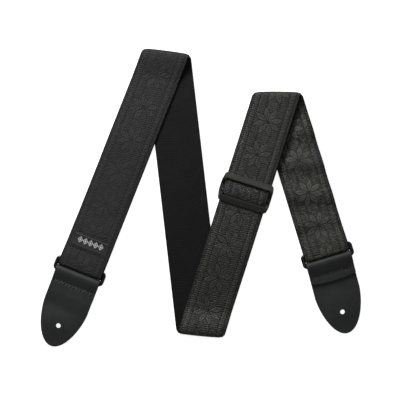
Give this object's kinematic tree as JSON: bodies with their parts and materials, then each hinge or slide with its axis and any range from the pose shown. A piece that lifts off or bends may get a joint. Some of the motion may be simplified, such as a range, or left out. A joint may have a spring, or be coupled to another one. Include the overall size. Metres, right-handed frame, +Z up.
{
  "type": "guitar strap",
  "caption": "Patterned ribbon-faced webbing strap laid in a zigzag, with a length slider, two end rings and leather tabs with button holes.",
  "frame": {"origin": "middle of the laid strap's outline, on the table", "axes": "+Z up from the table; +X across the zigzag from the left end to the right end; +Y towards the two upper folds"},
  "size_m": [0.3504, 0.3258, 0.012],
  "materials": {
    "webbing": "plain black webbing, faint cross ribs, matt",
    "ribbon": "black jacquard ribbon, tonal flower and rope pattern, slight sheen",
    "leather": "smooth black leather, fine grain, satin",
    "ring": "black enamelled wire, semi-gloss",
    "slider_frame": "dark olive-black metal, semi-gloss",
    "label": null,
    "thread": "black sewing thread"
  },
  "bodies": {
    "middle_run": {"middle_webbing": "webbing", "middle_ribbon": "ribbon"},
    "left_run": {"left_webbing": "webbing", "left_ribbon": "ribbon", "label": "label", "label_stitching": "thread", "left_loop_stitching": "thread"},
    "left_ring": {"left_ring": "ring"},
    "left_tab": {"left_tab_leather": "leather", "left_tab_stitching": "thread"},
    "up_run": {"up_webbing": "webbing", "up_ribbon": "ribbon", "return_webbing": "webbing", "return_ribbon": "ribbon"},
    "slider": {"slider_frame": "slider_frame", "adjuster_webbing": "webbing", "adjuster_ribbon": "ribbon", "adjuster_stitching": "thread"},
    "right_run": {"right_webbing": "webbing", "right_ribbon": "ribbon"},
    "right_ring": {"right_ring": "ring"},
    "right_tab": {"right_tab_leather": "leather", "right_tab_stitching": "thread"}
  },
  "joints": [
    {"name": "left_fold_hinge", "type": "hinge", "parent": "middle_run", "child": "left_run", "pos_m": [-0.03812, 0.15946, 0.0045], "axis": [-0.9914, 0.1305, 0], "range_deg": [0, 180]},
    {"name": "left_ring_swivel", "type": "hinge", "parent": "left_run", "child": "left_ring", "pos_m": [-0.13103, -0.07449, 0.0045], "axis": [-0.9298, 0.3681, 0], "range_deg": [-90, 90]},
    {"name": "left_tab_swivel", "type": "hinge", "parent": "left_ring", "child": "left_tab", "pos_m": [-0.13563, -0.08611, 0.0045], "axis": [-0.9298, 0.3681, 0], "range_deg": [-90, 90]},
    {"name": "bottom_fold_hinge", "type": "hinge", "parent": "middle_run", "child": "up_run", "pos_m": [-0.00172, -0.15084, 0.0045], "axis": [0.9954, -0.0954, 0], "range_deg": [0, 175]},
    {"name": "slider_slide", "type": "slide", "parent": "up_run", "child": "slider", "axis": [0.3015, 0.9535, 0], "range_m": [-0.04, 0.008]},
    {"name": "right_fold_hinge", "type": "hinge", "parent": "up_run", "child": "right_run", "pos_m": [0.08286, 0.11478, 0.0045], "axis": [1, -0.0057, 0], "range_deg": [0, 180]},
    {"name": "right_ring_swivel", "type": "hinge", "parent": "right_run", "child": "right_ring", "pos_m": [0.13545, -0.05722, 0.0045], "axis": [-0.9568, -0.2907, 0], "range_deg": [-90, 90]},
    {"name": "right_tab_swivel", "type": "hinge", "parent": "right_ring", "child": "right_tab", "pos_m": [0.13908, -0.06918, 0.0045], "axis": [-0.9568, -0.2907, 0], "range_deg": [-90, 90]}
  ]
}
